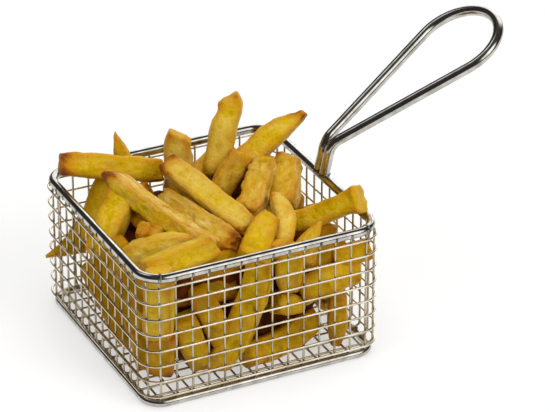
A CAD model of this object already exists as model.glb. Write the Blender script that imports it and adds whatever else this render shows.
"""The looks of a portion of french fries heaped in a small wire serving basket.

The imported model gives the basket's wires and the room that the heap fills. This script bends the
same wires round and smooth, adds the welds that hold them, and cuts, fries and stacks the separate
fries over a small dark core. Sizes are in metres, and places inside the basket are given in
millimetres from the middle of its foot.
"""

import itertools
import logging
import math
import random
from collections.abc import Callable
from dataclasses import dataclass, field

import bmesh
import bpy
import numpy as np
from mathutils import Matrix, Vector


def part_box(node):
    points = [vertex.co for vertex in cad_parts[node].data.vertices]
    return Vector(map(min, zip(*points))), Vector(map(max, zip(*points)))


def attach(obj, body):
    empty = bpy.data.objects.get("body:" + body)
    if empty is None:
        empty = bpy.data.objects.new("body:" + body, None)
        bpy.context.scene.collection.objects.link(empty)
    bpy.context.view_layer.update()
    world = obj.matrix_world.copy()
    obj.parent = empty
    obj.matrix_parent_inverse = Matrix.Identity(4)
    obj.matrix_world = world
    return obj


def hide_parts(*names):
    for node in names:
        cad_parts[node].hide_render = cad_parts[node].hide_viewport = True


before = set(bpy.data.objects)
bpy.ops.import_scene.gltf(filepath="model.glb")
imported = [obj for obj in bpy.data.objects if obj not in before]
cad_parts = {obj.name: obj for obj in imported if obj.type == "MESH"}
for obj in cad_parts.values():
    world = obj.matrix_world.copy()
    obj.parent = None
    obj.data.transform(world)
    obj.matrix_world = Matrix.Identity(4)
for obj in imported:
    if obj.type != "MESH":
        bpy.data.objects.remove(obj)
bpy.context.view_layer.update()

MM = 0.001
BODY = "root"
LOG = logging.getLogger("fries")
# The way that the heap's front looks: fries are turned and slanted as seen from there.
FRONT = Vector((-0.389, -0.792, 0.471))
# transform.rotate turns the other way about Y than a matrix does.
SLANT_SENSE = -1


# ----------------------------------------------------------------------------------------------
# Small tools
# ----------------------------------------------------------------------------------------------


def linear(code: str) -> tuple[float, float, float, float]:
    """Turn an sRGB hex value into the linear colour that a shader socket takes.

    Args:
        code: six hex digits, with or without a leading hash.

    Returns:
        The linear red, green and blue, and an alpha of one.
    """
    code = code.lstrip("#")
    parts = [int(code[place : place + 2], 16) / 255 for place in (0, 2, 4)]
    red, green, blue = (p / 12.92 if p <= 0.04045 else ((p + 0.055) / 1.055) ** 2.4 for p in parts)
    return (red, green, blue, 1.0)


def add_node(
    tree: bpy.types.NodeTree,
    kind: str,
    settings: dict[str, object] | None = None,
    **inputs: object,
) -> bpy.types.Node:
    """Add one node with its settings, values and links.

    Args:
        tree: the node tree that gets the node.
        kind: the node's type name.
        settings: attributes of the node itself.
        **inputs: values or output sockets for its inputs, by name with underscores for spaces;
            a name such as in_0 means the input at that place.

    Returns:
        The new node.
    """
    node = tree.nodes.new(kind)
    for name, value in (settings or {}).items():
        setattr(node, name, value)
    for name, value in inputs.items():
        key = int(name[3:]) if name.startswith("in_") else name.replace("_", " ")
        if isinstance(value, bpy.types.NodeSocket):
            tree.links.new(value, node.inputs[key])
        else:
            node.inputs[key].default_value = value
    return node


def ramp(
    tree: bpy.types.NodeTree, source: bpy.types.NodeSocket, stops: dict[float, tuple[float, ...]]
) -> bpy.types.NodeSocket:
    """Add a colour ramp.

    Args:
        tree: the node tree that gets the ramp.
        source: the socket that drives it.
        stops: a linear colour for each place from 0 to 1, in order.

    Returns:
        The ramp's colour socket.
    """
    node = add_node(tree, "ShaderNodeValToRGB", None, Fac=source)
    elements = node.color_ramp.elements
    while len(elements) < len(stops):
        elements.new(0.5)
    for element, (place, colour) in zip(elements, stops.items()):
        element.position = place
        element.color = colour
    return node.outputs["Color"]


def grey(value: float) -> tuple[float, float, float, float]:
    """Return a linear grey."""
    return (value, value, value, 1.0)


def deselect_all() -> None:
    """Leave edit mode and let go of every object."""
    if bpy.context.object and bpy.context.object.mode != "OBJECT":
        bpy.ops.object.mode_set(mode="OBJECT")
    bpy.ops.object.select_all(action="DESELECT")


def make_active(piece: bpy.types.Object) -> None:
    """Select one object alone and make it the active one."""
    deselect_all()
    piece.select_set(True)
    bpy.context.view_layer.objects.active = piece


def apply_modifier(piece: bpy.types.Object, kind: str, **settings: object) -> None:
    """Give a piece a modifier and apply it.

    Args:
        piece: the active object.
        kind: the modifier's type.
        **settings: the modifier's attributes.
    """
    modifier = piece.modifiers.new(kind.lower(), kind)
    for name, value in settings.items():
        setattr(modifier, name, value)
    bpy.ops.object.modifier_apply(modifier=modifier.name)


def join(pieces: list[bpy.types.Object], name: str) -> bpy.types.Object:
    """Join objects into one piece.

    Args:
        pieces: what is joined, with its place already in its meshes.
        name: the name of the result.

    Returns:
        The joined object.
    """
    make_active(pieces[0])
    for piece in pieces:
        piece.select_set(True)
    bpy.ops.object.join()
    whole = bpy.context.object
    whole.name = name
    whole.data.name = name
    return whole


def bake_place(piece: bpy.types.Object) -> None:
    """Move an object's place, turn and scale into its mesh."""
    make_active(piece)
    bpy.ops.object.transform_apply(location=True, rotation=True, scale=True)


def smooth_shade(piece: bpy.types.Object, angle: float = 40.0) -> None:
    """Shade a piece smooth where its faces meet at less than an angle in degrees."""
    make_active(piece)
    bpy.ops.object.shade_smooth_by_angle(angle=math.radians(angle))


def finish_piece(piece: bpy.types.Object, material: bpy.types.Material) -> None:
    """Dress a piece in its material and let it ride on the basket.

    Args:
        piece: the piece.
        material: what it is made of.
    """
    piece.data.materials.clear()
    piece.data.materials.append(material)
    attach(piece, BODY)
    LOG.info("%s: %d faces", piece.name, len(piece.data.polygons))


# ----------------------------------------------------------------------------------------------
# Finishes
# ----------------------------------------------------------------------------------------------


@dataclass(frozen=True)
class PolishedStainless:
    """Electropolished stainless steel wire: mirror bright, with faint draw lines that blur it."""

    name: str = "electropolished_stainless_steel"
    tint: str = "#C9C6C0"
    shade: str = "#AAA69D"
    roughness: float = 0.12
    line_pitch: float = 0.25 * MM

    def make(self) -> bpy.types.Material:
        """Build the material.

        Returns:
            The material.
        """
        material = bpy.data.materials.new(self.name)
        material.use_nodes = True
        tree = material.node_tree
        shader = tree.nodes["Principled BSDF"]
        shader.inputs["Metallic"].default_value = 1.0
        place = add_node(tree, "ShaderNodeTexCoord").outputs["Object"]
        # Handling marks: soft patches a few millimetres across where the polish is duller.
        patches = add_node(
            tree, "ShaderNodeTexNoise", None, Vector=place, Scale=0.25 / MM, Detail=3.0
        ).outputs["Fac"]
        colour = ramp(tree, patches, {0.35: linear(self.shade), 0.62: linear(self.tint)})
        tree.links.new(colour, shader.inputs["Base Color"])
        dull = ramp(
            tree, patches, {0.3: grey(self.roughness + 0.06), 0.7: grey(self.roughness - 0.03)}
        )
        tree.links.new(dull, shader.inputs["Roughness"])
        # Draw lines and grit, drawn a little coarser than they are so that they show.
        grit = add_node(
            tree, "ShaderNodeTexNoise", None, Vector=place, Scale=1 / self.line_pitch, Detail=2.0
        ).outputs["Fac"]
        bump = add_node(
            tree, "ShaderNodeBump", None, Height=grit, Strength=0.06, Distance=0.02 * MM
        )
        tree.links.new(bump.outputs["Normal"], shader.inputs["Normal"])
        return material


@dataclass(frozen=True)
class DrawnStainless:
    """Drawn stainless steel mesh wire: satin, a little warm from heat at its welds."""

    name: str = "drawn_stainless_mesh_wire"
    bright: str = "#F2EAD8"
    warm: str = "#CCBEA2"
    roughness: float = 0.24

    def make(self) -> bpy.types.Material:
        """Build the material.

        Returns:
            The material.
        """
        material = bpy.data.materials.new(self.name)
        material.use_nodes = True
        tree = material.node_tree
        shader = tree.nodes["Principled BSDF"]
        shader.inputs["Metallic"].default_value = 1.0
        shader.inputs["Roughness"].default_value = self.roughness
        place = add_node(tree, "ShaderNodeTexCoord").outputs["Object"]
        # Heat tint drifts along the wires over a centimetre or so.
        drift = add_node(
            tree, "ShaderNodeTexNoise", None, Vector=place, Scale=0.14 / MM, Detail=4.0
        ).outputs["Fac"]
        colour = ramp(tree, drift, {0.36: linear(self.warm), 0.6: linear(self.bright)})
        tree.links.new(colour, shader.inputs["Base Color"])
        grit = add_node(
            tree, "ShaderNodeTexNoise", None, Vector=place, Scale=5 / MM, Detail=2.0
        ).outputs["Fac"]
        bump = add_node(
            tree, "ShaderNodeBump", None, Height=grit, Strength=0.1, Distance=0.02 * MM
        )
        tree.links.new(bump.outputs["Normal"], shader.inputs["Normal"])
        return material


@dataclass(frozen=True)
class TintedWeld:
    """Stainless steel that has melted and set again: dull, scaled and darkened by the heat."""

    name: str = "heat_tinted_stainless_weld"
    light: str = "#A8A094"
    dark: str = "#5E564A"
    roughness: float = 0.36

    def make(self) -> bpy.types.Material:
        """Build the material.

        Returns:
            The material.
        """
        material = bpy.data.materials.new(self.name)
        material.use_nodes = True
        tree = material.node_tree
        shader = tree.nodes["Principled BSDF"]
        shader.inputs["Metallic"].default_value = 1.0
        shader.inputs["Roughness"].default_value = self.roughness
        place = add_node(tree, "ShaderNodeTexCoord").outputs["Object"]
        # Scale and heat colour change from one bead to the next.
        scale = add_node(
            tree, "ShaderNodeTexNoise", None, Vector=place, Scale=0.6 / MM, Detail=3.0
        ).outputs["Fac"]
        colour = ramp(tree, scale, {0.38: linear(self.dark), 0.62: linear(self.light)})
        tree.links.new(colour, shader.inputs["Base Color"])
        bump = add_node(
            tree, "ShaderNodeBump", None, Height=scale, Strength=0.4, Distance=0.1 * MM
        )
        tree.links.new(bump.outputs["Normal"], shader.inputs["Normal"])
        return material


@dataclass(frozen=True)
class FriedPotato:
    """Deep-fried potato: a thin translucent golden crust, browned at its ends and edges."""

    name: str = "deep_fried_potato"
    pale: str = "#DABC50"
    golden: str = "#CEA804"
    deep: str = "#A47C00"
    orange: str = "#C48C0C"
    tan: str = "#D0A640"
    chalky: str = "#E6C880"
    creased: str = "#AE7612"
    browned: str = "#B87408"
    scorched: str = "#7A4008"
    roughness: float = 0.46
    patch_pitch: float = 11.0 * MM
    mottle_pitch: float = 3.2 * MM
    pore_pitch: float = 1.1 * MM
    speck_pitch: float = 0.8 * MM
    furrow_pitch: float = 1.7 * MM

    def make(self) -> bpy.types.Material:
        """Build the material.

        Returns:
            The material.
        """
        material = bpy.data.materials.new(self.name)
        material.use_nodes = True
        tree = material.node_tree
        shader = tree.nodes["Principled BSDF"]
        shader.inputs["Subsurface Weight"].default_value = 0.25
        shader.inputs["Subsurface Radius"].default_value = (1.0, 0.72, 0.14)
        shader.inputs["Subsurface Scale"].default_value = 1.4 * MM
        shader.inputs["IOR"].default_value = 1.45
        shader.inputs["Specular IOR Level"].default_value = 0.18
        place = add_node(tree, "ShaderNodeTexCoord").outputs["Object"]
        tone, browned, dry = (
            add_node(tree, "ShaderNodeAttribute", {"attribute_name": name}).outputs["Fac"]
            for name in ("tone", "browned", "dry")
        )
        broad, mottle, fine, speck = (
            add_node(
                tree, "ShaderNodeTexNoise", None, Vector=place, Scale=1 / pitch, Detail=detail, Roughness=0.6
            ).outputs["Fac"]
            for pitch, detail in (
                (self.patch_pitch, 2.0), (self.mottle_pitch, 5.0), (self.pore_pitch, 4.0), (self.speck_pitch, 2.0),
            )
        )
        # How pale the crust is: each fry's own tone, which drifts along it and is mottled.
        drift = self.swing(tree, broad, 1.1, tone)
        paleness = self.swing(tree, fine, 0.4, self.swing(tree, mottle, 1.1, drift))
        crust = ramp(
            tree, paleness, {0.1: linear(self.deep), 0.5: linear(self.golden), 0.9: linear(self.pale)}
        )
        # Patches where the frying has turned it orange, and where the crust has dried to tan.
        crust = self.blend(
            tree, ramp(tree, broad, {0.5: grey(0.0), 0.68: grey(0.75)}), crust, linear(self.orange)
        )
        dried = add_node(
            tree, "ShaderNodeMath", {"operation": "MULTIPLY"}, in_0=dry,
            in_1=ramp(tree, mottle, {0.35: grey(0.3), 0.6: grey(1.0)}),
        ).outputs[0]
        # Dried crust shrinks into furrows along the fry: brown creases between chalky ridges.
        grain = add_node(tree, "ShaderNodeAttribute", {"attribute_name": "grain"}).outputs["Vector"]
        furrow = add_node(
            tree, "ShaderNodeTexNoise", None, Vector=grain, Scale=1 / self.furrow_pitch,
            Detail=4.0, Roughness=0.65, Distortion=0.6,
        ).outputs["Fac"]
        ridged = ramp(
            tree,
            furrow,
            {0.34: linear(self.creased), 0.46: linear(self.tan), 0.66: linear(self.chalky)},
        )
        crust = self.blend(tree, dried, crust, ridged)
        # How far it has browned: what the cutter wrote at ends and edges, broken up by pores.
        brownness = self.swing(tree, fine, 0.5, self.swing(tree, mottle, 0.6, browned))
        amount = ramp(tree, brownness, {0.1: grey(0.0), 0.7: grey(1.0)})
        brown = ramp(tree, brownness, {0.6: linear(self.browned), 1.0: linear(self.scorched)})
        colour = self.blend(tree, amount, crust, brown)
        # Small brown specks where the oil has caught the edge of a pore.
        caught = ramp(tree, speck, {0.66: grey(0.0), 0.74: grey(0.6)})
        colour = self.blend(tree, caught, colour, linear(self.scorched))
        tree.links.new(colour, shader.inputs["Base Color"])
        shine = ramp(
            tree, fine, {0.3: grey(self.roughness - 0.12), 0.7: grey(self.roughness + 0.1)}
        )
        tree.links.new(shine, shader.inputs["Roughness"])
        # Tiny blisters in the crust, about a millimetre across, over shallow swellings.
        swell = add_node(
            tree, "ShaderNodeBump", None, Height=mottle, Strength=0.8, Distance=0.8 * MM
        ).outputs["Normal"]
        pores = add_node(
            tree, "ShaderNodeBump", None, Height=fine, Normal=swell, Strength=0.8, Distance=0.5 * MM
        ).outputs["Normal"]
        shrunk = add_node(
            tree, "ShaderNodeBump", None, Height=furrow, Normal=pores, Strength=dry, Distance=0.9 * MM
        ).outputs["Normal"]
        tree.links.new(shrunk, shader.inputs["Normal"])
        return material

    @staticmethod
    def swing(
        tree: bpy.types.NodeTree,
        noise: bpy.types.NodeSocket,
        size: float,
        about: bpy.types.NodeSocket,
    ) -> bpy.types.NodeSocket:
        """Let a value swing about another by noise.

        Args:
            tree: the node tree.
            noise: the noise, which averages a half.
            size: how far the value swings in all.
            about: the value that it swings about.

        Returns:
            The sum of the two, kept from 0 to 1.
        """
        centred = add_node(
            tree, "ShaderNodeMath", {"operation": "MULTIPLY_ADD"}, in_0=noise, in_1=size, in_2=-size / 2
        ).outputs[0]
        return add_node(
            tree, "ShaderNodeMath", {"operation": "ADD", "use_clamp": True}, in_0=about, in_1=centred
        ).outputs[0]

    @staticmethod
    def blend(
        tree: bpy.types.NodeTree, amount: object, below: object, above: object
    ) -> bpy.types.NodeSocket:
        """Lay one colour over another by an amount."""
        return add_node(
            tree, "ShaderNodeMix", {"data_type": "RGBA"}, in_0=amount, in_6=below, in_7=above
        ).outputs[2]


@dataclass(frozen=True)
class ShadedPotato:
    """Potato deep in the heap, where only light that has gone through other fries arrives."""

    name: str = "potato_in_deep_shade"
    lit: str = "#6E3404"
    unlit: str = "#3E1803"

    def make(self) -> bpy.types.Material:
        """Build the material.

        Returns:
            The material.
        """
        material = bpy.data.materials.new(self.name)
        material.use_nodes = True
        tree = material.node_tree
        shader = tree.nodes["Principled BSDF"]
        shader.inputs["Roughness"].default_value = 0.7
        place = add_node(tree, "ShaderNodeTexCoord").outputs["Object"]
        mottle = add_node(
            tree, "ShaderNodeTexNoise", None, Vector=place, Scale=0.2 / MM, Detail=3.0
        ).outputs["Fac"]
        colour = ramp(tree, mottle, {0.35: linear(self.unlit), 0.65: linear(self.lit)})
        tree.links.new(colour, shader.inputs["Base Color"])
        shader.inputs["Specular IOR Level"].default_value = 0.1
        return material


@dataclass(frozen=True)
class PaleFloor:
    """Opal acrylic sheet lit softly from below, so that shadows on it stay faint."""

    name: str = "opal_acrylic_sheet"
    colour: str = "#B4B4B3"
    glow: float = 0.52

    def make(self) -> bpy.types.Material:
        """Build the material.

        Returns:
            The material.
        """
        material = bpy.data.materials.new(self.name)
        material.use_nodes = True
        shader = material.node_tree.nodes["Principled BSDF"]
        shader.inputs["Base Color"].default_value = linear(self.colour)
        shader.inputs["Roughness"].default_value = 0.9
        shader.inputs["Specular IOR Level"].default_value = 0.1
        shader.inputs["Emission Color"].default_value = grey(1.0)
        shader.inputs["Emission Strength"].default_value = self.glow
        return material


# ----------------------------------------------------------------------------------------------
# Wires
# ----------------------------------------------------------------------------------------------


class WireBender:
    """Forms one round wire out of a circle, run by run and bend by bend."""

    def __init__(self, diameter: float, start: Vector, heading: Vector, sides: int) -> None:
        """Lay out the first section of the wire.

        Args:
            diameter: the wire's diameter.
            start: the middle of its first section.
            heading: the way it sets off.
            sides: how many sides its section has.
        """
        self.tip = start.copy()
        self.heading = heading.normalized()
        deselect_all()
        turn = self.heading.to_track_quat("Z", "Y").to_euler()
        bpy.ops.mesh.primitive_circle_add(
            vertices=sides, radius=diameter / 2, location=start, rotation=turn
        )
        bpy.ops.object.transform_apply(location=True, rotation=True, scale=True)
        self.piece = bpy.context.object
        bpy.ops.object.mode_set(mode="EDIT")
        bpy.ops.mesh.select_all(action="SELECT")

    def run(self, length: float) -> None:
        """Go straight on for a length."""
        step = self.heading * length
        bpy.ops.mesh.extrude_region_move(TRANSFORM_OT_translate={"value": step})
        self.tip += step

    def turn(self, towards: Vector, radius: float, angle: float, steps: int) -> None:
        """Bend the wire.

        Args:
            towards: the side that it bends to.
            radius: the bend's radius, at the middle of the wire.
            angle: how far it turns, in radians.
            steps: how many sections the bend has.
        """
        side = (towards - towards.dot(self.heading) * self.heading).normalized()
        centre = self.tip + side * radius
        axis = self.heading.cross(side)
        bpy.ops.mesh.spin(steps=steps, angle=-angle, center=centre, axis=axis)
        spin = Matrix.Rotation(angle, 3, axis)
        self.tip = centre + spin @ (self.tip - centre)
        self.heading = spin @ self.heading

    def done(self, name: str) -> bpy.types.Object:
        """Close the wire: its ends are joined where they meet, and capped where they don't.

        Args:
            name: the piece's name.

        Returns:
            The finished wire.
        """
        bpy.ops.mesh.select_all(action="SELECT")
        bpy.ops.mesh.remove_doubles(threshold=0.02 * MM)
        bpy.ops.mesh.fill_holes(sides=0)
        bpy.ops.mesh.normals_make_consistent(inside=False)
        bpy.ops.object.mode_set(mode="OBJECT")
        self.piece.name = name
        return self.piece


class Welder:
    """Lays weld beads, small flattened drops of melted wire, all in one piece.

    The beads are laid in batches that are joined at the end, which is quicker than laying them
    all in one mesh.
    """

    BATCH = 30

    def __init__(self, sides: int, rings: int) -> None:
        """Set the shape of the beads.

        Args:
            sides: how many sides each bead has.
            rings: how many rows of faces each bead has.
        """
        self.sides = sides
        self.rings = rings
        self.laid = 0
        self.batches: list[bpy.types.Object] = []

    def bead(self, place: Vector, half: Vector, turn: float = 0.0) -> None:
        """Lay one bead.

        Args:
            place: its middle.
            half: half its size each way.
            turn: how far it is turned about the upright, in radians.
        """
        deselect_all()
        if self.laid % self.BATCH == 0:
            bpy.ops.object.add(type="MESH")
            self.batches.append(bpy.context.object)
        make_active(self.batches[-1])
        bpy.ops.object.mode_set(mode="EDIT")
        bpy.ops.mesh.primitive_uv_sphere_add(
            segments=self.sides, ring_count=self.rings, radius=1,
            location=place, rotation=(0, 0, turn), scale=half,
        )
        bpy.ops.object.mode_set(mode="OBJECT")
        self.laid += 1

    def done(self, name: str, weld: bpy.types.Material, slot: str) -> None:
        """Join the beads and dress them.

        Args:
            name: the piece's name.
            weld: its finish.
            slot: the record's material slot.
        """
        piece = join(self.batches, name)
        smooth_shade(piece, 60.0)
        finish_piece(piece, weld)


@dataclass
class WireBasket:
    """The basket: rim, foot ring, mesh and the welds between them."""

    middle: Vector
    mesh_wire: float = 0.85 * MM
    rim_wire: float = 3.5 * MM
    foot_wire: float = 3.1 * MM
    pitch: float = 6.35 * MM
    hoops: int = 8
    wires_each_way: int = 14
    hoop_half: float = 47.5 * MM
    hoop_corner: float = 7.6 * MM
    rim_half: float = 46.3 * MM
    rim_corner: float = 9.0 * MM
    rim_z: float = 53.12 * MM
    foot_half: float = 45.4 * MM
    foot_corner: float = 7.0 * MM
    foot_z: float = 1.474 * MM
    first_hoop_z: float = 49.72 * MM
    along_x_shift: float = -0.4 * MM
    along_y_shift: float = -2.6 * MM
    floor_bend: float = 1.6 * MM
    pieces: list[bpy.types.Object] = field(default_factory=list)

    def ring(
        self, name: str, half: float, corner: float, z: float, wire: float, sides: int, steps: int
    ) -> bpy.types.Object:
        """Bend one level ring.

        Args:
            name: the piece's name.
            half: half the ring's width, at the middle of its wire.
            corner: the radius of its corners.
            z: its height.
            wire: its wire's diameter.
            sides: how many sides the wire's section has.
            steps: how many sections each corner has.

        Returns:
            The ring.
        """
        start = self.middle + Vector((half, corner - half, z))
        bender = WireBender(wire, start, Vector((0, 1, 0)), sides)
        for _ in range(4):
            bender.run(2 * (half - corner))
            inward = Vector((0, 0, 1)).cross(bender.heading)
            bender.turn(inward, corner, math.pi / 2, steps)
        return bender.done(name)

    @staticmethod
    def side_at(half: float, corner: float, offset: float) -> float:
        """Return how far out the side of a ring is, at a place along that side."""
        into_corner = abs(offset) - (half - corner)
        if into_corner <= 0:
            return half
        return half - corner + math.sqrt(corner**2 - into_corner**2)

    def upright_half(self, offset: float) -> float:
        """Return how far out an upright stands at this place along its side of the mesh."""
        gap = self.mesh_wire * 0.86
        return self.side_at(self.hoop_half - gap, self.hoop_corner - gap, offset)

    def offsets(self, shift: float) -> list[float]:
        """Return where the uprights stand along a side, from its middle."""
        first = shift - (self.wires_each_way - 1) / 2 * self.pitch
        return [first + number * self.pitch for number in range(self.wires_each_way)]

    def cross_wire(self, name: str, offset: float, along: Vector, floor_z: float) -> bpy.types.Object:
        """Bend one mesh wire down a wall, over the floor and up the other wall.

        Args:
            name: the piece's name.
            offset: how far the wire is from the basket's middle, across its own plane.
            along: the level direction that it runs in.
            floor_z: how high it runs over the floor.

        Returns:
            The wire.
        """
        across = Vector((0, 0, 1)).cross(along)
        half = self.upright_half(offset)
        top = self.rim_z - self.rim_wire * 0.3
        start = self.middle - across * offset - along * half + Vector((0, 0, top))
        down = Vector((0, 0, -1))
        bender = WireBender(self.mesh_wire, start, down, 8)
        bender.run(top - floor_z - self.floor_bend)
        bender.turn(along, self.floor_bend, math.pi / 2, 4)
        bender.run(2 * (half - self.floor_bend))
        bender.turn(-down, self.floor_bend, math.pi / 2, 4)
        bender.run(top - floor_z - self.floor_bend)
        return bender.done(name)

    def build_rings(self) -> None:
        """Bend the rim, the foot ring and the hoops, each in place of its own solid."""
        rim = self.ring(
            "rim_wire", self.rim_half, self.rim_corner, self.rim_z, self.rim_wire, 20, 14
        )
        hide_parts("rim")
        foot = self.ring(
            "foot_ring_wire", self.foot_half, self.foot_corner, self.foot_z, self.foot_wire, 20, 14
        )
        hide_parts("foot_ring")
        self.pieces += [rim, foot]

    def build_mesh(self) -> tuple[list[bpy.types.Object], list[bpy.types.Object]]:
        """Bend the thin wires of the mesh.

        Returns:
            The hoops, and the wires that cross them and the floor.
        """
        hoops, uprights = [], []
        for number in range(self.hoops):
            z = self.first_hoop_z - number * self.pitch
            name = f"hoop_wire_{number + 1}"
            hoop = self.ring(name, self.hoop_half, self.hoop_corner, z, self.mesh_wire, 8, 6)
            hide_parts(f"mesh_hoop_{number + 1}")
            hoops.append(hoop)
        low = self.foot_z + (self.foot_wire + self.mesh_wire) / 2
        for number, offset in enumerate(self.offsets(self.along_x_shift), 1):
            name = f"front_to_back_wire_{number}"
            wire = self.cross_wire(name, offset, Vector((0, 1, 0)), low)
            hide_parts(f"mesh_wire_front_to_back_{number}")
            uprights.append(wire)
        for number, offset in enumerate(self.offsets(self.along_y_shift), 1):
            name = f"side_to_side_wire_{number}"
            wire = self.cross_wire(name, -offset, Vector((1, 0, 0)), low + self.mesh_wire)
            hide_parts(f"mesh_wire_side_to_side_{number}")
            uprights.append(wire)
        return hoops, uprights

    def build_welds(self, heated: bpy.types.Material, weld: bpy.types.Material) -> None:
        """Lay a bead wherever a mesh wire crosses a hoop, the rim, the foot ring or another wire.

        Args:
            heated: the finish of the nuggets between thin wires.
            weld: the finish of the beads on the rim and the foot ring.
        """
        up = Vector((0, 0, 1))
        foot_top = self.foot_z + self.foot_wire / 2
        sides = (
            (self.along_x_shift, Vector((1, 0, 0)), Vector((0, 1, 0)), 0.45 * MM),
            (self.along_y_shift, Vector((0, 1, 0)), Vector((1, 0, 0)), 0.95 * MM),
        )
        nuggets, beads = Welder(6, 4), Welder(8, 6)
        for shift, along, across, foot_bead in sides:
            nugget = (along + up) * 0.54 * MM + across * 0.5 * MM
            for offset, side in itertools.product(self.offsets(shift), (-1, 1)):
                out = across * side
                start = self.middle + along * offset
                wall = self.side_at(self.hoop_half, self.hoop_corner, offset) - 0.37 * MM
                for number in range(self.hoops):
                    z = self.first_hoop_z - number * self.pitch
                    nuggets.bead(start + out * wall + up * z, nugget)
                rim = self.side_at(self.rim_half, self.rim_corner, offset) + self.rim_wire * 0.46
                beads.bead(
                    start + out * rim + up * (self.rim_z - 0.15 * MM),
                    along * 0.6 * MM + across * 0.5 * MM + up * 1.0 * MM,
                )
                foot = self.side_at(self.foot_half, self.foot_corner, offset)
                beads.bead(
                    start + out * foot + up * foot_top,
                    along * 0.5 * MM + across * 0.8 * MM + up * foot_bead,
                )
        floor = foot_top + self.mesh_wire
        for x, y in itertools.product(
            self.offsets(self.along_x_shift), self.offsets(self.along_y_shift)
        ):
            nuggets.bead(self.middle + Vector((x, y, floor)), Vector((0.54, 0.54, 0.5)) * MM)
        nuggets.done("mesh_nuggets", heated, "mesh_wire")
        beads.done("rim_and_foot_beads", weld, "mesh_wire")

    def build_joints(self, weld: bpy.types.Material) -> None:
        """Lay the thicker welds: where the rim is closed, and at the handle's feet and neck.

        Args:
            weld: the finish of the welds.
        """
        places = (
            ((-40.76, -45.61, 53.12), (1.2, 1.98, 1.98), -22.6),
            ((41.5, -45.3, 53.12), (1.2, 1.98, 1.98), 27.6),
            ((46.3, -2.15, 54.6), (2.5, 2.3, 1.1), 0),
            ((46.3, 2.15, 54.6), (2.5, 2.3, 1.1), 0),
            ((47.7, 0, 63.5), (1.3, 0.7, 2.2), 0),
        )
        welder = Welder(16, 10)
        for place, half, turn in places:
            welder.bead(self.middle + Vector(place) * MM, Vector(half) * MM, math.radians(turn))
        welder.done("rim_and_handle_welds", weld, "polished_wire")

    def build(
        self,
        polished: bpy.types.Material,
        drawn: bpy.types.Material,
        heated: bpy.types.Material,
        weld: bpy.types.Material,
    ) -> None:
        """Make and dress the whole basket.

        Args:
            polished: the finish of the thick wires.
            drawn: the finish of the hoops.
            heated: the finish of the wires that cross them, and of the small welds.
            weld: the finish of the larger welds.
        """
        self.build_rings()
        for piece in self.pieces:
            smooth_shade(piece)
            finish_piece(piece, polished)
        hoops, uprights = self.build_mesh()
        for wires, finish in ((hoops, drawn), (uprights, heated)):
            for wire in wires:
                smooth_shade(wire, 60.0)
                finish_piece(wire, finish)
        self.build_welds(heated, weld)
        self.build_joints(weld)


@dataclass
class LoopHandle:
    """The handle: one wire with two legs side by side and a long teardrop loop."""

    middle: Vector
    wire: float = 4.0 * MM
    foot_x: float = 46.3 * MM
    foot_z: float = 54.6 * MM
    corner_z: float = 66.40 * MM
    lean: float = math.radians(12.5)
    slope: float = math.radians(29)
    loop_length: float = 61.0 * MM
    loop_radius: float = 17.5 * MM
    neck_bend: float = 7.5 * MM
    leg_gap: float = 2.15 * MM

    def build(self, polished: bpy.types.Material) -> bpy.types.Object:
        """Bend the handle and dress it.

        Args:
            polished: its finish.

        Returns:
            The handle.
        """
        up_leg = Vector((math.sin(self.lean), 0, math.cos(self.lean)))
        outward = Vector((math.cos(self.slope), 0, math.sin(self.slope)))
        across = Vector((0, 1, 0))
        rise = (self.corner_z - self.foot_z) / math.cos(self.lean)
        foot = self.middle + Vector((self.foot_x, -self.leg_gap, self.foot_z))
        to_centre = math.hypot(self.loop_length, self.leg_gap)
        straight = math.sqrt(to_centre**2 - self.loop_radius**2)
        splay = math.asin(self.loop_radius / to_centre) - math.atan(self.leg_gap / self.loop_length)
        leg = math.cos(splay) * outward - math.sin(splay) * across
        bend = up_leg.angle(leg)
        setback = self.neck_bend * math.tan(bend / 2)
        bender = WireBender(self.wire, foot, up_leg, 24)
        bender.run(rise - setback)
        bender.turn(leg, self.neck_bend, bend, 8)
        bender.run(straight - setback)
        bender.turn(across, self.loop_radius, math.pi + 2 * splay, 36)
        bender.run(straight - setback)
        bender.turn(-up_leg, self.neck_bend, bend, 8)
        bender.run(rise - setback)
        handle = bender.done("handle_wire")
        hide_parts("handle")
        smooth_shade(handle)
        finish_piece(handle, polished)
        return handle


# ----------------------------------------------------------------------------------------------
# Fries
# ----------------------------------------------------------------------------------------------


@dataclass(frozen=True)
class End:
    """How an end of a fry is shaped, in shares of the fry's own width and thickness.

    Attributes:
        wide: the end's width.
        deep: its thickness.
        side: how far its middle moves across the fry.
        slant: how far the cut leans, in degrees; the side it leans to is the longer one.
        reach: how far along the fry the change begins.
    """

    wide: float = 0.94
    deep: float = 0.94
    side: float = 0.0
    slant: float = 0.0
    reach: float = 0.9


BLUNT = End()
ROUNDED = End(0.6, 0.6, reach=0.8)
SPIKE = End(0.1, 0.5, side=-0.42, reach=1.5)
PINCHED = End(0.3, 0.5, side=0.1, reach=1.1)
FLARED = End(1.3, 1.2, slant=-8, reach=0.75)

Spot = tuple[float, float, float]


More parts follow.
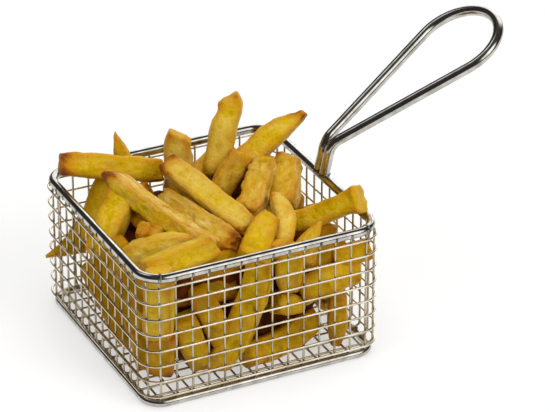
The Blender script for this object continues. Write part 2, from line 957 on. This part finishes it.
@dataclass(frozen=True)
class Fry:
    """One fry: where its ends are, in millimetres from the basket's middle, and how it is cut.

    Attributes:
        tail: the middle of one end.
        tip: the middle of the other.
        width: its size across.
        thick: its size from front to back.
        roll: how far it is turned about its length, in degrees.
        bow: how far its middle is bent across, in millimetres.
        tail_end: the shape of the tail.
        tip_end: the shape of the tip.
        tail_brown: how browned the tail is, from 0 to 1.
        tip_brown: how browned the tip is.
        tone: from 0, deep olive gold, to 1, pale.
        dry: how far its crust has dried to tan.
        dry_edge: how much further it has dried along its -X side.
        wrinkle: the depth of the furrows along it, in millimetres.
        blister: the height of its blisters, in millimetres.
    """

    tail: Spot
    tip: Spot
    width: float
    thick: float
    roll: float = 0.0
    bow: float = 0.0
    tail_end: End = BLUNT
    tip_end: End = BLUNT
    tail_brown: float = 0.25
    tip_brown: float = 0.25
    tone: float = 0.5
    dry: float = 0.0
    dry_edge: float = 0.0
    wrinkle: float = 0.25
    blister: float = 0.0


ON_TOP = {
    "long_over_back_left_corner": Fry(
        (-43.2, 38.3, 60.4), (-7.8, 26.5, 55.2), 9.2, 8.6, tail_brown=0.85, tone=0.5,
    ),
    "pointed_behind_it": Fry(
        (-19.0, 37.4, 37.4), (-17.5, 39.0, 66.9), 7.4, 5.6, tip_end=SPIKE, tip_brown=0.35, tone=0.45,
    ),
    "dark_down_the_back_left": Fry(
        (-22.9, 36.0, 51.7), (-36.3, 33.0, 30.3), 11.0, 8.0, tone=0.5,
    ),
    "blunt_upright": Fry(
        (1.4, 33.0, 34.7), (0.5, 27.0, 67.4), 10.4, 9.0,
        roll=4, tip_end=End(0.96, 0.45, 0.0, -24, 1.1), tone=0.95, tip_brown=0.4,
    ),
    "long_pale_diagonal": Fry(
        (-8.3, 17.8, 61.5), (5.5, -22.6, 50.8), 8.8, 9.2, roll=-12, tail_brown=0.75, tone=0.85,
    ),
    "long_front_diagonal": Fry(
        (-32.2, 20.6, 62.7), (-11.1, -25.5, 48.8), 7.6, 8.4,
        roll=24, bow=1.6, tail_end=PINCHED, tail_brown=1.6, tone=0.55, dry=0.1, dry_edge=0.8, wrinkle=0.6,
    ),
    "wrinkled_between_them": Fry(
        (-12.8, 12.0, 49.8), (-4.2, -28.5, 48.2), 11.2, 8.0,
        roll=-4, tip_brown=0.75, tone=0.7, wrinkle=1.5, dry=0.75,
    ),
    "pale_down_the_left": Fry(
        (-29.1, 13.2, 56.8), (-43.7, 2.0, 40.2), 11.2, 9.0,
        roll=20, tail_end=End(0.95, 0.9, 0.0, -20), tone=0.6,
    ),
    "small_nub": Fry(
        (-22.3, -6.0, 42.3), (-32.1, -11.5, 54.4), 8.6, 8.2,
        roll=30, tip_end=ROUNDED, tip_brown=0.5, tone=0.35, dry=0.4,
    ),
    "broad_front_left": Fry(
        (-39.7, -13.0, 44.6), (-17.1, -22.0, 50.2), 8.8, 8.6,
        roll=14, bow=-1.6, tip_end=ROUNDED, tone=0.75, dry=0.25, wrinkle=0.5,
    ),
    "broad_front_corner": Fry(
        (-40.5, -33.5, 49.7), (-13.9, -31.5, 53.3), 8.6, 8.4,
        roll=14, tip_end=End(0.95, 1.0, 0.0, 14), tip_brown=0.3, tone=0.6,
    ),
    "tall_upright": Fry(
        (11.0, 19.0, 53.6), (18.2, 21.8, 81.7), 9.9, 8.8,
        bow=0.3, tip_end=End(0.9, 0.5, 0.0, 40), tone=0.8, tip_brown=0.4,
    ),
    "low_behind_the_tall": Fry(
        (4.9, 22.0, 51.0), (20.2, 25.0, 58.0), 9.0, 8.6, bow=-0.8, tone=0.9,
    ),
    "pointed_out_to_the_right": Fry(
        (17.6, 14.5, 54.2), (42.5, 10.4, 76.3), 9.6, 8.6,
        roll=-14, bow=-0.9, tip_end=End(0.34, 0.5, 0.16, 10, 1.5), tip_brown=0.7, dry_edge=0.3, tone=0.65,
    ),
    "brown_stub": Fry(
        (7.3, 8.5, 49.2), (19.0, 13.0, 61.7), 9.2, 8.4, roll=12, tone=0.2, tip_brown=0.3, dry=0.3,
    ),
    "blistered": Fry(
        (28.4, 10.0, 58.9), (9.6, -12.5, 52.5), 9.6, 8.6,
        roll=18, tail_end=End(0.75, 0.8), tip_end=End(1.2, 0.9, 0.1, -30), tone=0.35, blister=2.0, dry=0.45, dry_edge=0.4,
    ),
    "broad_at_the_right": Fry(
        (37.0, 8.0, 57.8), (25.4, -9.5, 49.8), 10.6, 8.6,
        roll=16, tail_end=End(1.0, 0.9, 0.0, 22), tone=0.35, dry=0.4, dry_edge=0.4, blister=0.4,
    ),
    "bright_short": Fry(
        (20.5, -14.5, 56.7), (14.8, -31.0, 46.9), 7.8, 7.8,
        roll=-10, bow=-1.6, tail_end=ROUNDED, tone=0.9,
    ),
    "bright_broad": Fry(
        (12.5, -25.0, 54.1), (-2.2, -37.0, 47.0), 10.4, 9.0,
        roll=14, tail_end=End(0.8, 0.9, 0.0, 12), tone=0.5,
    ),
    "small_by_the_rim": Fry(
        (7.4, -37.0, 48.3), (16.7, -33.0, 47.4), 7.0, 7.0, roll=20, tone=0.35, dry=0.3, tip_end=ROUNDED,
    ),
    "long_out_over_the_right_rim": Fry(
        (23.4, -17.0, 44.7), (44.2, -34.6, 60.0), 8.2, 8.6,
        tip_end=End(1.35, 1.25, 0.0, -6, 0.45), tone=0.55,
    ),
    "triangular_front_right": Fry(
        (19.2, -37.0, 41.3), (25.1, -31.5, 53.8), 11.0, 7.6,
        roll=8, tip_end=End(0.14, 0.6, 0.36, 0, 1.3), tone=0.5, dry=0.35,
    ),
    "dark_behind_the_triangle": Fry(
        (29.9, -28.0, 31.2), (36.8, -24.0, 45.3), 7.4, 7.4, tone=0.1,
    ),
    "short_back_right": Fry(
        (34.1, 2.0, 36.7), (37.4, 2.0, 45.7), 7.6, 7.6, tone=0.12, tip_end=ROUNDED,
    ),
    "orange_tip_in_the_gap": Fry(
        (-12.8, 20.0, 34.0), (-16.3, 24.0, 52.5), 5.6, 5.4, tip_end=ROUNDED, tip_brown=0.6, tone=0.3,
    ),
    "deep_under_the_diagonals": Fry(
        (-24.8, 8.0, 49.0), (-11.5, -20.0, 39.9), 9.0, 9.0, tone=0.05,
    ),
    "deep_by_the_front_rim": Fry(
        (-22.9, -30.0, 43.6), (1.8, -27.0, 42.7), 9.0, 9.0, tone=0.0, tip_brown=0.4,
    ),
    "deep_behind_the_front": Fry(
        (-28.9, -29.0, 34.6), (-4.9, -29.0, 32.8), 9.2, 9.0, tone=0.0,
    ),
    "deep_behind_the_front_low": Fry(
        (-15.1, -28.0, 16.3), (-6.4, -27.0, 29.6), 9.2, 9.0, tone=0.0,
    ),
    "deep_at_the_front_right": Fry(
        (7.2, -29.0, 23.9), (34.2, -27.0, 24.6), 9.2, 9.0, tone=0.0,
    ),
    "deep_at_the_back": Fry(
        (-5.2, 20.0, 45.0), (29.2, 16.0, 46.6), 9.0, 9.0, tone=0.1,
    ),
    "deep_in_the_middle": Fry(
        (2.0, 0.0, 46.5), (28.0, -6.0, 43.3), 9.0, 9.0, tone=0.1,
    ),
}

AT_THE_WALLS = {
    "near_corner_high": Fry(
        (-37.9, -38.2, 52.3), (-38.1, -38.4, 25.7), 10.4, 9.6, roll=8, tone=0.65,
    ),
    "near_corner_low": Fry(
        (-36.7, -37.2, 26.8), (-36.4, -34.0, 8.6), 10.2, 9.6, tone=0.15, tail_brown=0.6, tip_brown=0.7,
    ),
    "near_corner_left": Fry(
        (-39.2, -25.8, 23.1), (-40.1, -29.8, 8.6), 8.4, 8.0, tone=0.3, tip_brown=0.5,
    ),
    "front_slanting_left": Fry(
        (-22.1, -37.6, 39.4), (-13.7, -38.0, 17.9), 9.0, 8.6, tone=0.25,
    ),
    "front_low_left": Fry(
        (-28.3, -38.0, 30.0), (-21.1, -35.5, 6.6), 9.8, 9.0, tone=0.4, tip_brown=0.4, tip_end=ROUNDED,
    ),
    "front_long_upright": Fry(
        (2.7, -38.4, 47.3), (-15.3, -39.4, 6.8), 10.4, 9.4,
        roll=6, bow=-2.2, tip_end=End(0.9, 1.0, 0.0, 20), tone=0.5,
    ),
    "front_along_the_floor": Fry(
        (-5.6, -40.4, 9.4), (26.7, -31.3, 12.0), 9.8, 9.4, bow=1.8, tone=0.3,
    ),
    "front_blunt_high": Fry(
        (14.0, -37.6, 48.7), (13.9, -38.6, 31.7), 10.6, 9.0, tip_end=ROUNDED, tone=0.55,
    ),
    "front_blunt_middle": Fry(
        (8.5, -38.0, 26.9), (19.3, -36.0, 21.9), 8.4, 8.4, tip_end=ROUNDED, tone=0.5,
    ),
    "front_right_upper": Fry(
        (35.1, -34.0, 37.2), (46.4, -37.6, 40.4), 8.4, 8.0, tone=0.45,
    ),
    "behind_the_front_right": Fry(
        (21.5, -30.0, 35.2), (39.6, -30.0, 40.0), 8.6, 8.4, tone=0.0, tail_brown=0.5, tip_brown=0.6,
    ),
    "front_right_middle": Fry(
        (19.6, -37.0, 28.2), (42.0, -38.4, 32.2), 10.8, 9.6,
        roll=-10, tip_end=End(0.9, 0.9, 0.0, -20), tone=0.5,
    ),
    "front_right_low": Fry(
        (33.6, -38.0, 22.7), (34.5, -37.4, 3.3), 7.4, 8.0,
        tone=0.3, tip_brown=0.5, tip_end=End(0.55, 0.7, 0.1, 0, 1.2),
    ),
    "left_low": Fry(
        (-39.4, -14.9, 11.5), (-39.2, 19.9, 25.1), 9.6, 9.8, tone=0.25,
    ),
    "left_middle": Fry(
        (-39.2, -26.6, 21.0), (-39.4, 7.5, 35.1), 9.4, 9.2, tone=0.35,
    ),
    "left_upper": Fry(
        (-39.2, -30.8, 34.9), (-39.2, -2.7, 44.8), 9.4, 9.0, tone=0.15,
    ),
    "left_near_corner": Fry(
        (-39.2, -27.0, 9.4), (-39.2, -22.9, 35.8), 9.0, 8.6, tone=0.5,
    ),
    "left_far_thin": Fry(
        (-36.0, 35.0, 38.2), (-38.0, 41.9, 25.9), 4.8, 5.2, tone=0.1,
    ),
    "back_left_into_the_mesh": Fry(
        (-25.2, 34.0, 28.0), (-49.4, 41.0, 25.7), 9.6, 7.2, tip_end=SPIKE, tone=0.3,
    ),
    "back_low": Fry(
        (-22.0, 36.0, 12.0), (24.0, 38.4, 15.0), 10.0, 9.6,
    ),
    "back_middle": Fry(
        (-14.0, 38.4, 26.0), (22.0, 37.0, 36.0), 10.0, 9.4, tone=0.6,
    ),
    "back_slanting": Fry(
        (30.0, 38.0, 10.0), (14.0, 37.4, 46.0), 9.6, 9.0, tone=0.3,
    ),
    "right_low": Fry(
        (38.6, -20.0, 12.0), (38.6, 24.0, 17.0), 10.0, 9.6, tone=0.4,
    ),
    "right_middle": Fry(
        (38.4, 22.0, 28.0), (38.6, -16.0, 34.0), 10.0, 9.4, tone=0.7,
    ),
    "right_slanting": Fry(
        (38.6, -26.0, 14.0), (38.2, -6.0, 44.0), 9.4, 9.0, tone=0.3,
    ),
}


@dataclass
class FryCutter:
    """Cuts single fries: a squared stick of potato, shaped at its ends, swollen and dented."""

    dice: random.Random
    facing: Vector
    edge: float = 1.0 * MM
    section_step: float = 4.5 * MM
    lip: float = 0.8 * MM
    brown_reach: float = 6.0 * MM
    wobble: float = 0.22 * MM
    furrow_length: float = 0.3

    def select(
        self, piece: bpy.types.Object, test: Callable[[object], bool], edges: bool = False
    ) -> None:
        """Select points, or edges, of the piece in edit mode by a test of their place."""
        bpy.ops.mesh.select_mode(type="EDGE" if edges else "VERT")
        bpy.ops.mesh.select_all(action="DESELECT")
        shape = bmesh.from_edit_mesh(piece.data)
        for item in shape.edges if edges else shape.verts:
            if test(item):
                item.select_set(True)
        shape.select_flush_mode()
        bmesh.update_edit_mesh(piece.data)

    @staticmethod
    def is_upright(edge: bmesh.types.BMEdge) -> bool:
        """Tell whether an edge runs along the stick."""
        run = edge.verts[1].co - edge.verts[0].co
        return abs(run.z) > 0.9 * run.length

    def cut_stick(self, width: float, thick: float, length: float) -> bpy.types.Object:
        """Cut a squared stick that stands on its tail at the origin.

        Args:
            width: its size along X.
            thick: its size along Y.
            length: its size along Z.

        Returns:
            The stick, in edit mode.
        """
        deselect_all()
        bpy.ops.mesh.primitive_cube_add(size=1, location=(0, 0, length / 2))
        stick = bpy.context.object
        stick.scale = (width, thick, length)
        bpy.ops.object.transform_apply(location=True, rotation=True, scale=True)
        bpy.ops.object.mode_set(mode="EDIT")
        self.select(stick, self.is_upright, edges=True)
        bpy.ops.mesh.bevel(offset=self.edge, segments=1, affect="EDGES")
        flat = 3 * self.edge
        self.select(
            stick,
            lambda edge: not self.is_upright(edge) and edge.calc_length() > flat,
            edges=True,
        )
        bpy.ops.mesh.subdivide(number_cuts=2)
        self.select(stick, self.is_upright, edges=True)
        bpy.ops.mesh.subdivide(number_cuts=max(3, round(length / self.section_step)))
        for z, outward in ((0.0, -1), (length, 1)):
            self.select(stick, lambda point: abs(point.co.z - z) < 0.01 * MM)
            bpy.ops.mesh.extrude_region_move(
                TRANSFORM_OT_translate={"value": (0, 0, outward * self.lip)}
            )
            bpy.ops.transform.resize(value=(0.84, 0.84, 1), center_override=(0, 0, z))
        return stick

    def paint(self, stick: bpy.types.Object, fry: Fry, length: float) -> None:
        """Write how browned each point is, and the fry's own tone and dryness.

        Args:
            stick: the stick, still straight and standing on its tail.
            fry: what it is to be.
            length: its length.
        """
        bpy.ops.object.mode_set(mode="OBJECT")
        mesh = stick.data
        places = np.zeros(len(mesh.vertices) * 3)
        mesh.vertices.foreach_get("co", places)
        x, y, z = places.reshape(-1, 3).T
        near_tail = np.clip(1 - z / self.brown_reach, 0, 1)
        near_tip = np.clip(1 - (length - z) / self.brown_reach, 0, 1)
        corner = np.abs(x) / (fry.width * MM / 2) + np.abs(y) / (fry.thick * MM / 2)
        browned = fry.tail_brown * near_tail + fry.tip_brown * near_tip + 0.32 * (corner > 1.6)
        at_edge = np.clip(-4 * x / (fry.width * MM) - 0.8, 0, 1)
        dry = fry.dry + fry.dry_edge * at_edge
        for name, values in (("browned", browned), ("tone", fry.tone), ("dry", dry)):
            layer = mesh.attributes.new(name, "FLOAT", "POINT")
            spread = np.broadcast_to(values, len(mesh.vertices)).astype(np.float32)
            layer.data.foreach_set("value", spread)
        start = self.dice.uniform(0, 1000) * MM
        grain = np.column_stack((x + start, y, z * self.furrow_length)).astype(np.float32)
        layer = mesh.attributes.new("grain", "FLOAT_VECTOR", "POINT")
        layer.data.foreach_set("vector", grain.ravel())
        bpy.ops.object.mode_set(mode="EDIT")

    def shape(self, stick: bpy.types.Object, fry: Fry, length: float) -> None:
        """Narrow, bend and slant a stick in edit mode, ring by ring.

        Args:
            stick: the stick.
            fry: what it is to be.
            length: its length.
        """
        width = fry.width * MM
        ends = ((fry.tail_end, 0.0, 1), (fry.tip_end, length, -1))
        levels = sorted({round(v.co.z / MM, 2) for v in bmesh.from_edit_mesh(stick.data).verts})
        for level in levels:
            z = level * MM
            along = min(max(z / length, 0.0), 1.0)
            wide = self.dice.uniform(0.95, 1.05)
            deep = self.dice.uniform(0.95, 1.05)
            across = 4 * along * (1 - along) * fry.bow * MM + self.dice.uniform(-1, 1) * self.wobble
            for end, place, inward in ends:
                near = 1 - (z - place) * inward / (end.reach * width)
                near = min(max(near, 0.0), 1.0) ** 1.5
                wide *= 1 + (end.wide - 1) * near
                deep *= 1 + (end.deep - 1) * near
                across += end.side * width * near
            self.select(stick, lambda point: abs(point.co.z - z) < 0.02 * MM)
            bpy.ops.transform.resize(value=(wide, deep, 1), center_override=(0, 0, z))
            bpy.ops.transform.translate(
                value=(across, self.dice.uniform(-1, 1) * self.wobble, 0)
            )
        for end, place, inward in ends:
            reach = place - inward * 0.01 * MM
            self.select(stick, lambda point: (reach - point.co.z) * inward > -0.02 * MM)
            lean = end.slant if end.slant else self.dice.uniform(-9, 9)
            bpy.ops.transform.rotate(
                value=SLANT_SENSE * math.radians(lean) * inward,
                orient_axis="Y",
                center_override=(end.side * width, 0, place),
                use_proportional_edit=True,
                proportional_edit_falloff="SMOOTH",
                proportional_size=1.0 * width,
            )
        bpy.ops.mesh.select_all(action="SELECT")
        bpy.ops.transform.vertex_random(
            offset=0.9 * self.wobble, normal=0.4, seed=self.dice.randrange(10000)
        )
        bpy.ops.object.mode_set(mode="OBJECT")

    def stance(self, fry: Fry) -> Matrix:
        """Work out how a fry stands: before its roll, one flat side looks to the front.

        Args:
            fry: the fry.

        Returns:
            The matrix from the upright stick to its place.
        """
        tail, tip = Vector(fry.tail) * MM, Vector(fry.tip) * MM
        along = (tip - tail).normalized()
        away = (-self.facing + along * self.facing.dot(along)).normalized()
        turn = Matrix((away.cross(along), away, along)).transposed().to_4x4()
        return Matrix.Translation(tail) @ turn @ Matrix.Rotation(math.radians(fry.roll), 4, "Z")

    def cut(self, name: str, fry: Fry) -> bpy.types.Object:
        """Cut one fry and put it in its place.

        Args:
            name: its name.
            fry: its size, place and shape.

        Returns:
            The fry, with its place in its mesh.
        """
        length = (Vector(fry.tip) - Vector(fry.tail)).length * MM
        stick = self.cut_stick(fry.width * MM, fry.thick * MM, length)
        self.paint(stick, fry, length)
        self.shape(stick, fry, length)
        make_active(stick)
        apply_modifier(
            stick, "SIMPLE_DEFORM", deform_method="TWIST", deform_axis="Z",
            angle=math.radians(self.dice.uniform(-8, 8)),
        )
        apply_modifier(stick, "SUBSURF", levels=2, render_levels=2)
        squeeze = Matrix.Diagonal((1, 1, 0.3, 1))
        stick.data.transform(squeeze)
        self.dent(stick, 1.7 * MM, fry.wrinkle * MM)
        stick.data.transform(squeeze.inverted())
        if fry.blister:
            self.dent(stick, 2.6 * MM, fry.blister * MM)
        stick.data.transform(self.stance(fry))
        stick.name = name
        return stick

    def dent(self, piece: bpy.types.Object, size: float, depth: float) -> None:
        """Swell and dent a piece by smooth noise.

        Args:
            piece: the piece.
            size: how far apart the dents are.
            depth: from the highest to the lowest.
        """
        make_active(piece)
        noise = bpy.data.textures.new("dents", "CLOUDS")
        noise.noise_scale = size
        noise.noise_depth = 1
        apply_modifier(
            piece, "DISPLACE", texture=noise, strength=depth, mid_level=0.5, texture_coords="LOCAL"
        )


@dataclass
class FryHeap:
    """The heap: the separate fries, and the small dark core that they hide."""

    middle: Vector
    cutter: FryCutter

    def stack(self, name: str, fries: dict[str, Fry], potato: bpy.types.Material) -> bpy.types.Object:
        """Cut a group of fries and join them into one piece.

        Args:
            name: the piece's name.
            fries: what it holds.
            potato: its finish.

        Returns:
            The piece.
        """
        cut = [self.cutter.cut(fry_name, fry) for fry_name, fry in fries.items()]
        whole = join(cut, name)
        self.cutter.dent(whole, 9 * MM, 1.0 * MM)
        self.cutter.dent(whole, 3 * MM, 0.6 * MM)
        whole.data.transform(Matrix.Translation(self.middle))
        smooth_shade(whole, 70.0)
        finish_piece(whole, potato)
        return whole

    def build_core(self, shaded: bpy.types.Material) -> bpy.types.Object:
        """Make the lump of fries that lies too deep to be seen one by one.

        Args:
            shaded: its finish.

        Returns:
            The core.
        """
        deselect_all()
        bpy.ops.mesh.primitive_cube_add(size=1, location=(0, -2 * MM, 26 * MM))
        core = bpy.context.object
        core.scale = (62 * MM, 62 * MM, 38 * MM)
        bpy.ops.object.transform_apply(location=True, rotation=True, scale=True)
        apply_modifier(core, "SUBSURF", levels=4, render_levels=4, subdivision_type="SIMPLE")
        apply_modifier(core, "SMOOTH", factor=0.5, iterations=12)
        self.cutter.dent(core, 12 * MM, 8 * MM)
        core.data.transform(Matrix.Translation(self.middle))
        core.name = "heap_core"
        smooth_shade(core, 70.0)
        finish_piece(core, shaded)
        return core

    def build(self, potato: bpy.types.Material, shaded: bpy.types.Material) -> None:
        """Make and dress the whole heap.

        Args:
            potato: the finish of the fries.
            shaded: the finish of the core.
        """
        top = self.stack("fries_on_top", ON_TOP, potato)
        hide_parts("fries_heap")
        self.stack("fries_at_the_walls", AT_THE_WALLS, potato)
        self.build_core(shaded)


# ----------------------------------------------------------------------------------------------
# Studio
# ----------------------------------------------------------------------------------------------


@dataclass
class Studio:
    """A white card under a broad soft light, in a darker room that the bright wires mirror."""

    middle: Vector
    azimuth: float = math.radians(-26.16)
    elevation: float = math.radians(28.09)
    distance: float = 1172.1 * MM
    lens: float = 205.15
    card: float = 1.6

    def build_camera(self) -> None:
        """Set the camera where the basket is seen from above its near corner."""
        data = bpy.data.cameras.new("camera")
        data.sensor_width = 36.0
        data.lens = self.lens
        data.clip_start = 0.05
        data.clip_end = 50.0
        camera = bpy.data.objects.new("camera", data)
        bpy.context.scene.collection.objects.link(camera)
        level = math.cos(self.elevation)
        back = Vector(
            (math.sin(self.azimuth) * level, -math.cos(self.azimuth) * level, math.sin(self.elevation))
        )
        aim = self.middle + Vector((26.8, 0, 44.5)) * MM
        camera.location = aim + back * self.distance
        camera.rotation_euler = (-back).to_track_quat("-Z", "Y").to_euler()
        bpy.context.scene.camera = camera

    def build_floor(self, card: bpy.types.Material) -> None:
        """Lay the white card.

        Args:
            card: its finish.
        """
        deselect_all()
        bpy.ops.mesh.primitive_plane_add(size=self.card * 4)
        floor = bpy.context.object
        floor.name = "floor"
        floor.data.materials.append(card)

    @staticmethod
    def panel(
        tree: bpy.types.NodeTree, way: bpy.types.NodeSocket, towards: Vector, spread: float, light: float
    ) -> bpy.types.NodeSocket:
        """Add one soft-edged bright panel to the room that the wires mirror.

        Args:
            tree: the world's node tree.
            way: the direction looked in.
            towards: the direction of the panel's middle.
            spread: the panel's half-angle, in degrees.
            light: how bright it is.

        Returns:
            The panel's light.
        """
        aim = towards.normalized()
        near = add_node(
            tree, "ShaderNodeVectorMath", {"operation": "DOT_PRODUCT"}, in_0=way, in_1=aim
        ).outputs["Value"]
        return add_node(
            tree,
            "ShaderNodeMapRange",
            {"interpolation_type": "SMOOTHSTEP"},
            Value=near,
            From_Min=math.cos(math.radians(spread * 1.3)),
            From_Max=math.cos(math.radians(spread * 0.7)),
            To_Max=light,
        ).outputs[0]

    def build_lights(self) -> None:
        """Hang the soft lights, and darken the room round the panels that the wires mirror."""
        places = {
            "overhead": ((-0.2, -0.1, 1.5), 1.2, 14.0),
            "front_right": ((0.55, -1.2, 0.9), 0.7, 9.0),
            "left": ((-1.3, -0.3, 0.8), 0.8, 5.0),
        }
        for name, (place, size, watts) in places.items():
            data = bpy.data.lights.new(name, "AREA")
            data.size = size
            data.energy = watts
            light = bpy.data.objects.new(name, data)
            light.location = place
            light.rotation_euler = (-Vector(place)).to_track_quat("-Z", "Y").to_euler()
            light.visible_glossy = False
            bpy.context.scene.collection.objects.link(light)
        world = bpy.data.worlds.new("studio")
        bpy.context.scene.world = world
        world.use_nodes = True
        tree = world.node_tree
        way = add_node(tree, "ShaderNodeTexCoord").outputs["Generated"]
        height = add_node(tree, "ShaderNodeSeparateXYZ", None, Vector=way).outputs["Z"]
        room = ramp(tree, height, {0.0: grey(0.14), 0.12: grey(0.05), 0.6: grey(0.04), 1.0: grey(0.07)})
        for towards, spread, light in (
            (Vector((0.36, -0.70, 0.58)), 22, 1.7),
            (Vector((0.6, 0.72, 0.38)), 26, 1.8),
            (Vector((-0.25, 0.45, 0.86)), 13, 1.0),
        ):
            bright = self.panel(tree, way, towards, spread, light)
            room = add_node(
                tree, "ShaderNodeVectorMath", {"operation": "ADD"}, in_0=room, in_1=bright
            ).outputs[0]
        seen = add_node(tree, "ShaderNodeLightPath").outputs["Is Camera Ray"]
        shown = add_node(
            tree, "ShaderNodeMix", {"data_type": "RGBA"}, in_0=seen, in_6=room, in_7=grey(1.0)
        ).outputs[2]
        background = tree.nodes["Background"]
        tree.links.new(shown, background.inputs["Color"])
        background.inputs["Strength"].default_value = 1.0

    def build(self) -> None:
        """Set up the camera, the card and the lights."""
        self.build_camera()
        self.build_floor(PaleFloor().make())
        self.build_lights()
        bpy.context.scene.view_settings.view_transform = "Standard"


def basket_middle() -> Vector:
    """Return the point under the middle of the basket, on the table."""
    low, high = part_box("rim")
    return Vector(((low.x + high.x) / 2, (low.y + high.y) / 2, 0))


def main() -> None:
    """Build and dress the whole portion."""
    logging.basicConfig(level=logging.INFO, format="%(message)s")
    middle = basket_middle()
    Studio(middle).build()
    polished = PolishedStainless().make()
    heated = DrawnStainless("heat_tinted_mesh_wire", bright="#C6BAA0", warm="#9E9072")
    WireBasket(middle).build(polished, DrawnStainless().make(), heated.make(), TintedWeld().make())
    LoopHandle(middle).build(polished)
    cutter = FryCutter(random.Random(7), FRONT.normalized())
    FryHeap(middle, cutter).build(FriedPotato().make(), ShadedPotato().make())


if __name__ == "__main__":
    main()
